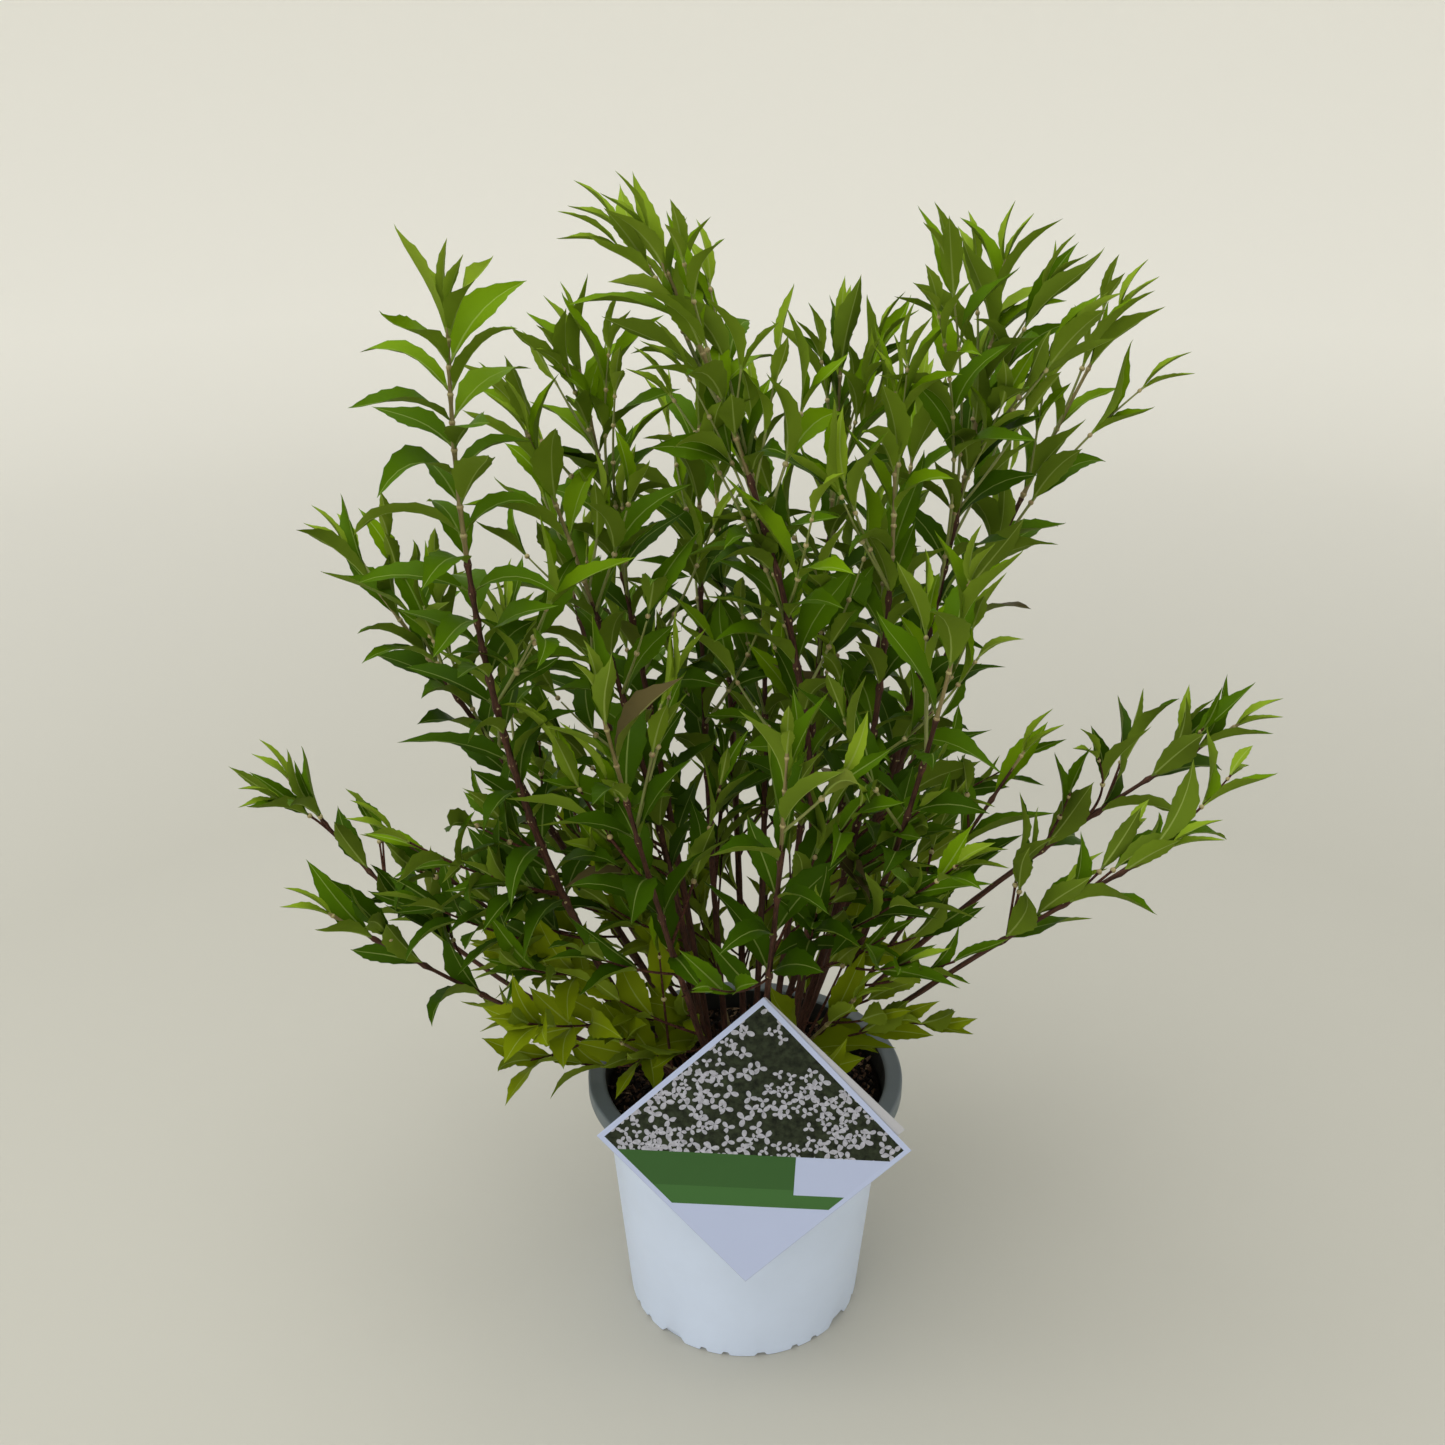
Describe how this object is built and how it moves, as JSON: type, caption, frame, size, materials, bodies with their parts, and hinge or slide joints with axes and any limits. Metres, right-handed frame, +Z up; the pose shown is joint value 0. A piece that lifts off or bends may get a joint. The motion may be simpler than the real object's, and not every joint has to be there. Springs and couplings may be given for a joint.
{
  "type": "potted deutzia shrub",
  "caption": "Leafy shrub of arching canes that rise from one woody crown, in a round nursery pot of compost with a square picture card stood on its corner at the rim.",
  "frame": {"origin": "centre of the pot's flat underside, on the surface that it stands on", "axes": "+Z up along the pot's axis, -Y towards the side with the picture card, +X to the right as one looks at the card"},
  "size_m": [0.6139, 0.4053, 0.6774],
  "materials": {
    "pot_plastic": "smooth bluish white moulded plastic, grey on the lip and inside",
    "compost": "dark damp compost with bark chips",
    "card_print": "thin printed card with a pale border",
    "card_plain": "thin plain grey card",
    "stake_plastic": "plain white strip",
    "bark": "thin reddish brown bark with pale rings at the nodes",
    "foliage": "soft matt green leaves, paler underneath"
  },
  "bodies": {
    "root": {"pot": "pot_plastic", "compost": "compost", "root_crown": "bark", "label_front": "card_print", "label_back": "card_plain", "label_stake": "stake_plastic", "cane_left_tall": "bark", "cane_left_low_back": "bark", "cane_left_low_front": "bark", "cane_left_low_middle": "bark", "cane_left_upper": "bark", "cane_left_inner": "bark", "cane_centre_left": "bark", "cane_centre_tall": "bark", "cane_centre_right": "bark", "cane_right_inner": "bark", "cane_right_tall": "bark", "cane_right_upper": "bark", "cane_right_low_back": "bark", "cane_right_low_front": "bark", "cane_right_low_middle": "bark", "cane_middle_left": "bark", "cane_middle_back": "bark", "cane_front_right": "bark", "cane_front_left": "bark", "cane_front_middle": "bark", "cane_back_left": "bark", "cane_back_middle": "bark", "cane_back_right": "bark", "cane_back_low_left": "bark", "cane_back_low_right": "bark", "foliage_left_tall": "foliage", "foliage_left_low_back": "foliage", "foliage_left_low_front": "foliage", "foliage_left_low_middle": "foliage", "foliage_left_upper": "foliage", "foliage_left_inner": "foliage", "foliage_centre_left": "foliage", "foliage_centre_tall": "foliage", "foliage_centre_right": "foliage", "foliage_right_inner": "foliage", "foliage_right_tall": "foliage", "foliage_right_upper": "foliage", "foliage_right_low_back": "foliage", "foliage_right_low_front": "foliage", "foliage_right_low_middle": "foliage", "foliage_middle_left": "foliage", "foliage_middle_back": "foliage", "foliage_front_right": "foliage", "foliage_front_left": "foliage", "foliage_front_middle": "foliage", "foliage_back_left": "foliage", "foliage_back_middle": "foliage", "foliage_back_right": "foliage", "foliage_back_low_left": "foliage", "foliage_back_low_right": "foliage", "sprig_left": "foliage", "sprig_right": "foliage", "sprig_back": "foliage"}
  },
  "joints": []
}
